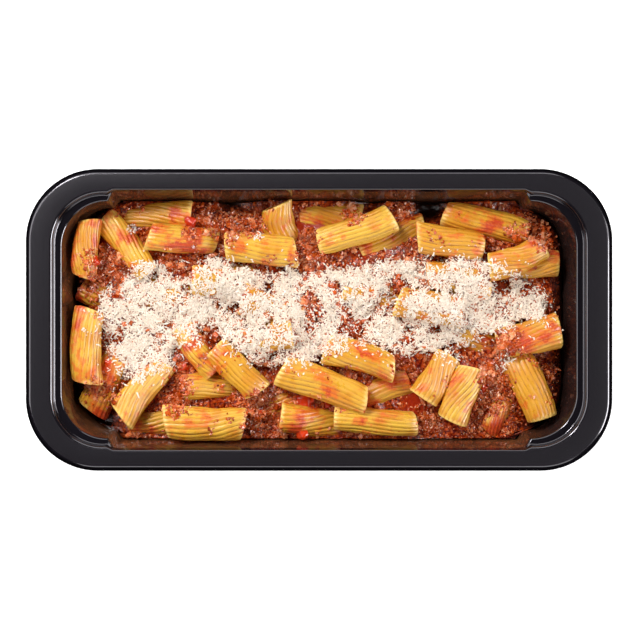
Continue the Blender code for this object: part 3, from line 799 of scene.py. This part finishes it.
def mince_layer(ground, name, weight, count, sizes, shape, roughness, finish):
    """One size of mince grains, heaped by weight."""
    parts = []
    for _ in range(MINCE_BATCHES):
        x, y = ground.scatter(weight, count // MINCE_BATCHES)
        size = (sizes[0] + (sizes[1] - sizes[0]) * rng.uniform(0, 1, len(x)) ** 1.8) * MM
        z = ground.at(x, y) + size * 0.15
        gaps = FOOD_GAP + size * 1.3
        x, y = np.array([keep_inside(*place) for place in zip(x, y, z, gaps)]).T
        centres = np.column_stack([x, y, z])
        points, faces, owner = lumps(centres, size, shape, roughness, 0.45, 0.85)
        shade, kind = rng.uniform(0, 1, (2, len(x)))
        parts.append((points, faces, grain_tones(owner, shade, kind)))
        ground.heap(x, y, size * 0.55)
        ground.relax()
    points, faces, tones = joined(parts)
    return new_piece(name, points, faces, finish, tones, smooth=False)


def build_mince(ground, sauce_owner, cover):
    """Fine grains of mince over the sauce, heaped in mounds and scattered on the tubes."""
    mounds = nearness(MINCE_MOUNDS, ground.x, ground.y)
    clump = noise_at(ground.x, ground.y, 3 * MM, 6 * MM)
    on_sauce = ground.owner == sauce_owner
    thin = np.clip((clump - 0.3) * 2.0, 0, 0.32)
    weight = np.where(on_sauce, np.clip(0.65 + 1.3 * clump, 0.08, 1.5), thin) + mounds * 1.6
    weight *= inside_food(ground.x, ground.y) * (ground.owner >= 0)
    weight *= (1 - np.clip(sinking(ground.x, ground.y) / DARK_SINK, 0, 1)) ** 2
    weight *= 1 - nearness(POOLS, ground.x, ground.y) * np.where(mounds > 0.3, 0.2, 1)
    weight *= 1 - 0.8 * cover
    weight = np.clip(weight, 0, None)
    coarse = weight * (on_sauce | (mounds > 0.2))
    finish = mince_finish()
    return [
        mince_layer(ground, "mince_lumps", coarse, MINCE_LUMPS, (0.7, 1.7), ball(2), 0.26, finish),
        mince_layer(ground, "mince_grains", weight, MINCE_GRAINS, (0.35, 0.8), ball(1), 0.36, finish),
    ]


def build_tomatoes(ground):
    """Small soft cubes of tomato."""
    x, y, size = np.array(TOMATOES).T[:3] * MM
    centres = np.column_stack([x, y, ground.at(x, y) - size * 0.15])
    local, triangles = ball(3)
    local = local / np.abs(local).max(1, keepdims=True) ** 0.8
    points, faces, owner = lumps(centres, size, (local, triangles), 0.02, 0.3, 0.6)
    rough = noise_at(*points.T, 1.7 * MM)
    points = points + (points - centres[owner]) * (0.3 * rough)[:, None]
    shade = rng.uniform(0, 1, len(centres))
    ground.heap(x, y, size * 0.5)
    return new_piece("tomato", points, faces, tomato_finish(), grain_tones(owner, shade))


# Cheese

CHEESE_SHREDS = 7800
CHEESE_BATCHES = 15
CHEESE_CURLS = 1200
CHEESE_GRANULES = 8500
DRIFT_EDGE = 0.44
DRIFT_THICKNESS = 0.8 * MM

# Length is log-normal between its limits, and lengths and widths are in millimetres
Strip = namedtuple("Strip", "mean spread shortest longest thinnest thickest curl steps")
SHRED = Strip(0.1, 0.42, 0.6, 3.0, 0.4, 0.8, 0.3, 2)
CURL = Strip(0.85, 0.32, 1.6, 4.8, 0.45, 0.85, 0.8, 4)


def cheese_cover(ground):
    """How thickly the cheese lies over each cell of the ground, from 0 to about 1."""
    x, y = ground.x, ground.y
    covered = np.zeros(x.shape, bool)
    corners = np.array(CHEESE_OUTLINE) * MM
    for (x0, y0), (x1, y1) in zip(corners, np.roll(corners, -1, axis=0)):
        if y0 == y1:
            continue
        crosses = (y0 > y) != (y1 > y)
        covered ^= crosses & (x < x0 + (y - y0) * (x1 - x0) / (y1 - y0))
    cover = soften(covered.astype(float), 5, 2)
    cover = np.clip(cover * 1.35 - 0.15, 0, 1)
    for away, bareness in distances(CHEESE_HOLES, x, y):
        cover *= 1 - bareness * np.clip(1.5 - away, 0, 1)
    patch = noise_at(x, y, 0, 9 * MM) + 0.7 * noise_at(x, y, 1, 3 * MM)
    return cover * np.clip(0.94 + patch * 0.85, 0.12, 1.25)


def strips(ground, weight, count, kind):
    """Tapered four-sided strips, scattered by weight, that lie on the ground and raise it."""
    steps = kind.steps
    x, y = ground.scatter(weight, count)
    lengths = rng.lognormal(kind.mean, kind.spread, count)
    lengths = np.clip(lengths, kind.shortest, kind.longest) * MM
    widths = rng.uniform(kind.thinnest, kind.thickest, count) * MM
    heading = rng.uniform(0, math.tau, count)
    bent = rng.normal(0, kind.curl, count)
    share = np.linspace(-0.5, 0.5, steps)
    turn = heading[:, None] + bent[:, None] * share
    centre = np.empty((count, steps, 3))
    centre[:, :, 0] = x[:, None] + lengths[:, None] * share * np.cos(turn)
    centre[:, :, 1] = y[:, None] + lengths[:, None] * share * np.sin(turn)
    under = ground.at(centre[:, :, 0], centre[:, :, 1])
    highest = np.maximum(under[:, 0], under[:, -1])
    first = np.maximum(under[:, 0], highest - lengths * 0.7)
    last = np.maximum(under[:, -1], highest - lengths * 0.7)
    line = first[:, None] + (last - first)[:, None] * (share + 0.5)
    lift = np.clip(under - line, 0, None).max(1) * 0.7
    centre[:, :, 2] = line + lift[:, None] + widths[:, None] * 0.2
    tilt = rng.uniform(-0.9, 0.9, count)
    across = np.column_stack([
        -np.sin(heading) * np.cos(tilt), np.cos(heading) * np.cos(tilt), np.sin(tilt)])
    upward = np.column_stack([
        np.sin(heading) * np.sin(tilt), -np.cos(heading) * np.sin(tilt), np.cos(tilt)])
    taper = 1 - 0.5 * np.abs(2 * share) ** 1.5 if steps > 2 else np.array((1.0, 0.6))
    points = np.empty((count, steps, 4, 3))
    for corner, (a, b) in enumerate(((-1, -1), (1, -1), (1, 1), (-1, 1))):
        offset = across * (a * widths / 2)[:, None] + upward * (b * widths * 0.32)[:, None]
        points[:, :, corner] = centre + offset[:, None] * taper[None, :, None]
    for step in range(steps):
        ground.heap(centre[:, step, 0], centre[:, step, 1], widths * 0.6 / steps)
    return points.reshape(count, -1, 3)


def strip_faces(count, steps):
    """Triangles of four-sided strips with this many rings of points."""
    last = (steps - 1) * 4
    caps = [[3, 2, 1, 0], [last, last + 1, last + 2, last + 3]]
    quads = np.concatenate([ring_faces(steps, 4), caps])
    triangles = np.concatenate([quads[:, [0, 1, 2]], quads[:, [0, 2, 3]]])
    return (triangles[None] + np.arange(count)[:, None, None] * steps * 4).reshape(-1, 3)


def cheese_piece(name, points, finish):
    """A piece from the strips' points."""
    count, per = points.shape[:2]
    owner = np.repeat(np.arange(count), per)
    tones = grain_tones(owner, rng.uniform(0, 1, count))
    return new_piece(name, points.reshape(-1, 3), strip_faces(count, per // 4), finish, tones,
                     smooth=False)


def build_drift(ground, cover, finish):
    """The bed of cheese under the loose shreds, which dives under the food at its edges."""
    bed = soften(ground.height, 6, 2) + 0.7 * MM
    rough = noise_at(ground.x, ground.y, 5 * MM, 1.4 * MM)
    steep = np.hypot(*np.gradient(bed, ground.cell))
    lay = cover - 0.2 * np.clip(steep - 1.1, 0, 1.5)
    z = bed + (lay - 0.7) * 2.4 * MM + rough * 0.3 * MM
    kept = lay > DRIFT_EDGE
    grid = np.arange(ground.x.size).reshape(ground.x.shape)
    whole = kept[:-1, :-1] & kept[1:, :-1] & kept[:-1, 1:] & kept[1:, 1:]
    quads = np.stack([grid[:-1, :-1], grid[:-1, 1:], grid[1:, 1:], grid[1:, :-1]], -1)[whole]
    used, index = np.unique(quads, return_inverse=True)
    points = np.stack([ground.x.ravel()[used], ground.y.ravel()[used], z.ravel()[used]], 1)
    shade = np.full(len(points), 0.5)
    thick = np.clip(lay.ravel()[used], 0, 1)
    tones = np.column_stack([shade, shade * 0 + 1, thick, shade])
    drift = new_piece("cheese_drift", points, index.reshape(-1, 4), finish, tones)
    slab = drift.modifiers.new("slab", "SOLIDIFY")
    slab.thickness = DRIFT_THICKNESS
    slab.offset = -1.0
    ground.height = np.where(kept, np.maximum(ground.height, z), ground.height)
    ground.bare = ground.height.copy()
    return drift


def build_cheese(ground, cover):
    """Grated hard cheese: a drift of fine short shreds and granules, with strays."""
    finish = cheese_finish()
    made = [build_drift(ground, cover, finish)]
    fringe = soften(cover, 6, 2) * 0.2
    clump = noise_at(ground.x, ground.y, 7 * MM, 5 * MM)
    weight = np.clip(cover - 0.15, 0, 1) * np.clip(0.8 + 1.5 * clump, 0.2, 1.6) + fringe
    weight += nearness(STRAYS, ground.x, ground.y)
    weight *= inside_food(ground.x, ground.y) * (ground.owner >= 0)
    parts = []
    for _ in range(CHEESE_BATCHES):
        parts.append(strips(ground, weight, CHEESE_SHREDS // CHEESE_BATCHES, SHRED))
        ground.relax()
    made.append(cheese_piece("cheese_shreds", np.concatenate(parts), finish))
    curls = strips(ground, weight, CHEESE_CURLS, CURL)
    made.append(cheese_piece("cheese_curls", curls, finish))
    x, y = ground.scatter(weight, CHEESE_GRANULES)
    size = rng.uniform(0.22, 0.55, len(x)) * MM
    centres = np.column_stack([x, y, ground.at(x, y) + size * 0.4])
    points, faces, owner = lumps(centres, size, granule(), 0.2, 0.35, 0.9)
    tones = grain_tones(owner, rng.uniform(0, 1, len(x)))
    made.append(new_piece("cheese_granules", points, faces, finish, tones, smooth=False))
    return made


def granule():
    """Points and triangles of an octahedron."""
    points = np.array([(1, 0, 0), (0, 1, 0), (-1, 0, 0), (0, -1, 0), (0, 0, 1), (0, 0, -1)])
    faces = [(0, 1, 4), (1, 2, 4), (2, 3, 4), (3, 0, 4), (1, 0, 5), (2, 1, 5), (3, 2, 5), (0, 3, 5)]
    return points.astype(float), np.array(faces)


# Materials

NOISE_ROUGHNESS = 0.55
FLANGE_FADE = (TRAY_HEIGHT - 0.12 * MM, TRAY_HEIGHT - 0.02 * MM)


def fill(node, **values):
    """Sets a node's inputs, named with underscores for spaces."""
    for name, value in values.items():
        node.inputs[name.replace("_", " ")].default_value = value


class Nodes:
    """Short calls for the nodes of a material or a world."""

    def __init__(self, owner, shader):
        owner.use_nodes = True
        self.tree = owner.node_tree
        self.shader = self.tree.nodes[shader]

    def node(self, kind, **settings):
        """A new node with some of its properties set."""
        made = self.tree.nodes.new(kind)
        for name, value in settings.items():
            setattr(made, name, value)
        return made

    def feed(self, socket, source):
        """A link or a constant into a socket."""
        if isinstance(source, bpy.types.NodeSocket):
            self.tree.links.new(source, socket)
        else:
            socket.default_value = source

    def place(self, output):
        """X, Y and Z of one kind of coordinates."""
        split = self.node("ShaderNodeSeparateXYZ")
        self.feed(split.inputs[0], self.node("ShaderNodeTexCoord").outputs[output])
        return split.outputs

    def texture(self, kind, size, **values):
        """A texture over the object with features of this size in metres."""
        made = self.node(kind)
        self.feed(made.inputs["Vector"], self.node("ShaderNodeTexCoord").outputs["Object"])
        fill(made, Scale=1 / size, **values)
        return made.outputs

    def noise(self, size, detail=3.0):
        """Noise with features of this size in metres."""
        values = {"Detail": detail, "Roughness": NOISE_ROUGHNESS}
        return self.texture("ShaderNodeTexNoise", size, **values)["Fac"]

    def patches(self, size, detail, *stretch):
        """Noise stretched as ramp does it."""
        return self.ramp(self.noise(size, detail), *stretch)

    def ramp(self, source, low, high, new_low=0.0, new_high=1.0):
        """The source stretched from one range to another and clamped."""
        made = self.node("ShaderNodeMapRange")
        self.feed(made.inputs["Value"], source)
        fill(made, From_Min=low, From_Max=high, To_Min=new_low, To_Max=new_high)
        return made.outputs["Result"]

    def mix(self, share, first, second):
        """Two colours mixed by a share."""
        made = self.node("ShaderNodeMix", data_type="RGBA")
        self.feed(made.inputs[0], share)
        self.feed(made.inputs[6], first)
        self.feed(made.inputs[7], second)
        return made.outputs[2]

    def math(self, operation, first, second):
        """Arithmetic on two values."""
        made = self.node("ShaderNodeMath", operation=operation)
        self.feed(made.inputs[0], first)
        self.feed(made.inputs[1], second)
        return made.outputs[0]


class Finish(Nodes):
    """A Principled material."""

    def __init__(self, name):
        self.material = bpy.data.materials.new(name)
        super().__init__(self.material, "Principled BSDF")

    def set(self, **values):
        """Values of the shader's inputs."""
        fill(self.shader, **values)

    def tones(self):
        """The four tones painted on the mesh."""
        read = self.node("ShaderNodeAttribute", attribute_name="tone")
        split = self.node("ShaderNodeSeparateColor")
        self.feed(split.inputs[0], read.outputs["Color"])
        return split.outputs[0], split.outputs[1], split.outputs[2], read.outputs["Alpha"]

    def bump(self, height, distance, strength):
        """Fine relief from a height."""
        made = self.node("ShaderNodeBump")
        fill(made, Distance=distance, Strength=strength)
        self.feed(made.inputs["Height"], height)
        self.feed(self.shader.inputs["Normal"], made.outputs["Normal"])

    def colour(self, source):
        """Feeds the base colour."""
        self.feed(self.shader.inputs["Base Color"], source)

    def roughness(self, source):
        """Feeds the roughness."""
        self.feed(self.shader.inputs["Roughness"], source)


def tray_finish():
    """Black moulded plastic: satin flange, glossy walls with a painted brown reflection of the food,
    faint dust.
    """
    made = Finish("black_plastic")
    along, _, height = made.place("Object")
    _, _, facing = made.place("Normal")
    on_flange = made.ramp(height, *FLANGE_FADE)
    # Mask of the inside of the walls, where a reflection of the food is painted into the colour
    reflection_on_wall = made.ramp(height, LEDGE_Z - 0.6 * MM, LEDGE_Z - 2 * MM)
    reflection_on_wall = made.math("MULTIPLY", reflection_on_wall, made.ramp(facing, -0.05, 0.05))
    dust = made.patches(0.5 * MM, 2.0, 0.73, 0.78)
    black = made.mix(made.noise(14 * MM), srgb(20, 17, 22), srgb(16, 14, 18))
    black = made.mix(made.math("MULTIPLY", dust, on_flange), black, srgb(96, 94, 100))
    # Painted reflection of the food on the walls, painted darker towards the right end
    painted_food_reflection = made.mix(made.patches(5 * MM, 3.0, 0.35, 0.65), srgb(70, 44, 30), srgb(108, 64, 36))
    right = made.ramp(along, 90 * MM, 108 * MM)
    painted_food_reflection = made.mix(right, painted_food_reflection, srgb(42, 28, 25))
    made.colour(made.mix(reflection_on_wall, black, painted_food_reflection))
    made.roughness(made.ramp(height, *FLANGE_FADE, 0.07, 0.3))
    made.set(IOR=1.7, Specular_Tint=(0.97, 0.93, 1.0, 1))
    made.bump(made.noise(0.25 * MM, 2.0), 0.02 * MM, 0.4)
    return made.material


def pasta_finish():
    """Cooked pasta: golden ridges with painted shade in the grooves, paler cut lips that also carry a
    painted highlight, stained patches, wet.
    """
    made = Finish("rigatoni_pasta")
    groove_shade_and_lip_tone, stain, tint, inner = made.tones()
    mottle = made.noise(2.4 * MM, 4.0)
    broad = made.noise(11 * MM, 2.0)
    fine = made.noise(0.8 * MM, 3.0)
    crest = made.mix(tint, srgb(219, 170, 56), srgb(209, 146, 38))
    crest = made.mix(made.ramp(broad, 0.42, 0.62), crest, srgb(204, 134, 32))
    # Painted shade in the ridge grooves, broken up in patches
    groove_shade = made.mix(mottle, srgb(176, 98, 24), srgb(134, 62, 10))
    out_of_groove_shade = made.math("ADD", groove_shade_and_lip_tone, made.patches(4 * MM, 3.0, 0.4, 0.65, -0.1, 0.4))
    base = made.mix(made.ramp(out_of_groove_shade, 0.0, 0.55), groove_shade, crest)
    # Paler cut lip at each tube end: partly its own colour, partly a painted highlight
    base = made.mix(made.ramp(groove_shade_and_lip_tone, 1.02, 1.2), base, srgb(236, 190, 98))
    blotch = made.ramp(made.math("ADD", stain, made.ramp(mottle, 0.3, 0.7, -0.4, 0.4)), 0.35, 0.75)
    orange = made.mix(fine, srgb(222, 104, 22), srgb(204, 78, 14))
    base = made.mix(made.math("MULTIPLY", blotch, 0.72), base, orange)
    red = made.ramp(made.math("ADD", stain, made.ramp(fine, 0.3, 0.7, -0.15, 0.15)), 0.78, 1.0)
    base = made.mix(red, base, srgb(190, 58, 12))
    specks = made.patches(0.55 * MM, 1.0, 0.7, 0.76)
    base = made.mix(made.math("MULTIPLY", specks, 0.6), base, srgb(120, 52, 16))
    base = made.mix(inner, base, srgb(186, 84, 24))
    made.colour(base)
    made.roughness(made.ramp(mottle, 0.3, 0.7, 0.24, 0.46))
    made.set(Subsurface_Weight=0.06, Subsurface_Radius=(0.004, 0.002, 0.001),
             Subsurface_Scale=0.5)
    made.bump(fine, 0.15 * MM, 0.7)
    return made.material


def sauce_finish():
    """Meat sauce between the grains: dark brown red and wet, with painted shade between its grain
    cells and where it sinks beside the wall.
    """
    made = Finish("bolognese_sauce")
    wet, deep, _, _ = made.tones()
    grains = made.texture("ShaderNodeTexVoronoi", 1.2 * MM)["Distance"]
    patches = made.patches(3 * MM, 4.0, 0.35, 0.65)
    base = made.mix(patches, srgb(154, 38, 4), srgb(208, 86, 26))
    # Painted shade in the gaps between the grain cells
    base = made.mix(made.ramp(grains, 0.3, 0.75), base, srgb(88, 8, 0))
    base = made.mix(wet, base, srgb(160, 40, 10))
    # Painted shade where the sauce sinks beside the wall
    base = made.mix(deep, base, srgb(40, 16, 8))
    made.colour(base)
    made.set(Roughness=0.2)
    made.bump(made.noise(1.2 * MM, 4.0), 0.4 * MM, 0.8)
    return made.material


def mince_finish():
    """Mince in sauce: grains from dark red to pinkish brown, glistening."""
    made = Finish("mince_in_sauce")
    shade, kind, _, _ = made.tones()
    dark = made.mix(shade, srgb(120, 20, 0), srgb(204, 88, 24))
    light = made.mix(shade, srgb(220, 108, 44), srgb(246, 180, 130))
    base = made.mix(made.ramp(kind, 0.4, 0.8), dark, light)
    mottle = made.noise(1.0 * MM, 3.0)
    base = made.mix(made.ramp(mottle, 0.45, 0.7), base, srgb(212, 84, 18))
    shadow = made.patches(6 * MM, 2.0, 0.48, 0.62, 0.0, 0.55)
    base = made.mix(shadow, base, srgb(108, 22, 2))
    glints = made.patches(0.7 * MM, 1.0, 0.66, 0.7, 0.0, 0.6)
    base = made.mix(glints, base, srgb(250, 206, 172))
    made.colour(base)
    made.roughness(made.ramp(mottle, 0.3, 0.7, 0.1, 0.24))
    made.bump(made.noise(0.6 * MM, 3.0), 0.15 * MM, 0.7)
    return made.material


def tomato_finish():
    """Soft bright tomato."""
    made = Finish("tomato")
    shade, _, _, _ = made.tones()
    base = made.mix(shade, srgb(196, 44, 10), srgb(216, 72, 20))
    made.colour(made.mix(made.noise(1.5 * MM), base, srgb(186, 40, 10)))
    made.set(Roughness=0.15)
    made.bump(made.noise(1.0 * MM, 3.0), 0.3 * MM, 0.6)
    return made.material


def cheese_finish():
    """Off-white to pale cream hard cheese, with shadowed gaps in its bed."""
    made = Finish("hard_cheese")
    shade, bed, thick, _ = made.tones()
    base = made.mix(shade, srgb(228, 208, 187), srgb(250, 239, 224))
    gaps = made.mix(made.patches(3 * MM, 3.0, 0.4, 0.6), srgb(196, 104, 48), srgb(96, 30, 14))
    thin = made.ramp(thick, 0.4, 1.0, 0.18, -0.01)
    sunk = made.ramp(made.math("ADD", made.noise(0.9 * MM, 2.0), thin), 0.5, 0.55)
    sunk = made.math("MULTIPLY", sunk, bed)
    made.colour(made.mix(sunk, base, gaps))
    made.set(Roughness=0.5, Subsurface_Weight=0.1, Subsurface_Radius=(0.003, 0.002, 0.0015),
             Subsurface_Scale=0.5)
    made.bump(made.noise(0.7 * MM, 2.0), 0.3 * MM, 0.6)
    return made.material


# Camera, light and floor

PHOTO_SIDE = 639
PHOTO_MM_PER_PIXEL = 0.46377
CAMERA_HEIGHT = 1.0

# Name, place and size in metres, and power in watts
SOFTBOXES = [
    ("key", (-0.45, 0.55, 0.9), (0.2, 0.2), 8.0),
    ("left", (-1.0, 0.25, 0.75), (0.9, 0.8), 9.0),
    ("right", (1.05, -0.1, 0.65), (0.9, 0.9), 11.0),
    ("far", (-0.1, 1.0, 0.7), (1.2, 0.7), 7.5),
    ("near", (0.1, -1.0, 0.6), (1.2, 0.7), 7.0),
]
GLINT = ("glint", (1.0, -0.2, 0.6), (0.6, 0.35), 14.0)


def build_camera():
    """A camera straight above the tray that frames it as the photograph does."""
    lens = bpy.data.cameras.new("top")
    lens.sensor_width = 36.0
    field = PHOTO_SIDE * PHOTO_MM_PER_PIXEL * MM
    lens.lens = lens.sensor_width * CAMERA_HEIGHT / field
    lens.clip_start = 0.01
    camera = bpy.data.objects.new("top", lens)
    rim = TRAY_HEIGHT - SKIRT_DROP
    camera.location = (0.2 * MM, 0.16 * MM, rim + CAMERA_HEIGHT)
    bpy.context.scene.collection.objects.link(camera)
    bpy.context.scene.camera = camera


def softbox(name, place, size, power):
    """A soft light that faces the tray."""
    light = bpy.data.lights.new(name, "AREA")
    light.shape = "RECTANGLE"
    light.size, light.size_y = size
    light.energy = power
    lamp = bpy.data.objects.new(name, light)
    lamp.location = place
    lamp.rotation_euler = (-Vector(place)).to_track_quat("-Z", "Y").to_euler()
    bpy.context.scene.collection.objects.link(lamp)
    return lamp


def build_world():
    """Dim light from above and almost none from below."""
    world = bpy.data.worlds.new("studio")
    made = Nodes(world, "Background")
    _, _, upward = made.place("Generated")
    made.feed(made.shader.inputs["Strength"], made.ramp(upward, -0.05, 0.15, 0.02, 0.3))
    bpy.context.scene.world = world


def build_studio():
    """Plain white floor, soft surrounding light and softboxes on all sides."""
    bpy.ops.mesh.primitive_plane_add(size=4.0)
    floor = bpy.context.object
    floor.name = "floor"
    floor.visible_glossy = False
    floor.visible_diffuse = False
    paper = Finish("white_paper")
    paper.set(Base_Color=(0.9, 0.9, 0.9, 1), Roughness=0.9, Emission_Color=(1, 1, 1, 1),
              Emission_Strength=0.6)
    floor.data.materials.append(paper.material)
    build_world()
    for row in SOFTBOXES:
        softbox(*row)
    softbox(*GLINT).visible_diffuse = False
    bpy.context.scene.view_settings.view_transform = "Standard"


def main():
    """Dress the frame."""
    build_camera()
    build_studio()
    build_tray()
    tubes = build_rigatoni()
    sauce = build_sauce()
    ground = Ground(tubes + [sauce])
    cover = cheese_cover(ground)
    mince = build_mince(ground, len(tubes), cover)
    tomato = build_tomatoes(ground)
    ground.bare = ground.height.copy()
    cheese = build_cheese(ground, cover)
    for piece in tubes + [sauce, tomato] + mince + cheese:
        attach(piece, "root")
        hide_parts("rigatoni_bolognese")


main()
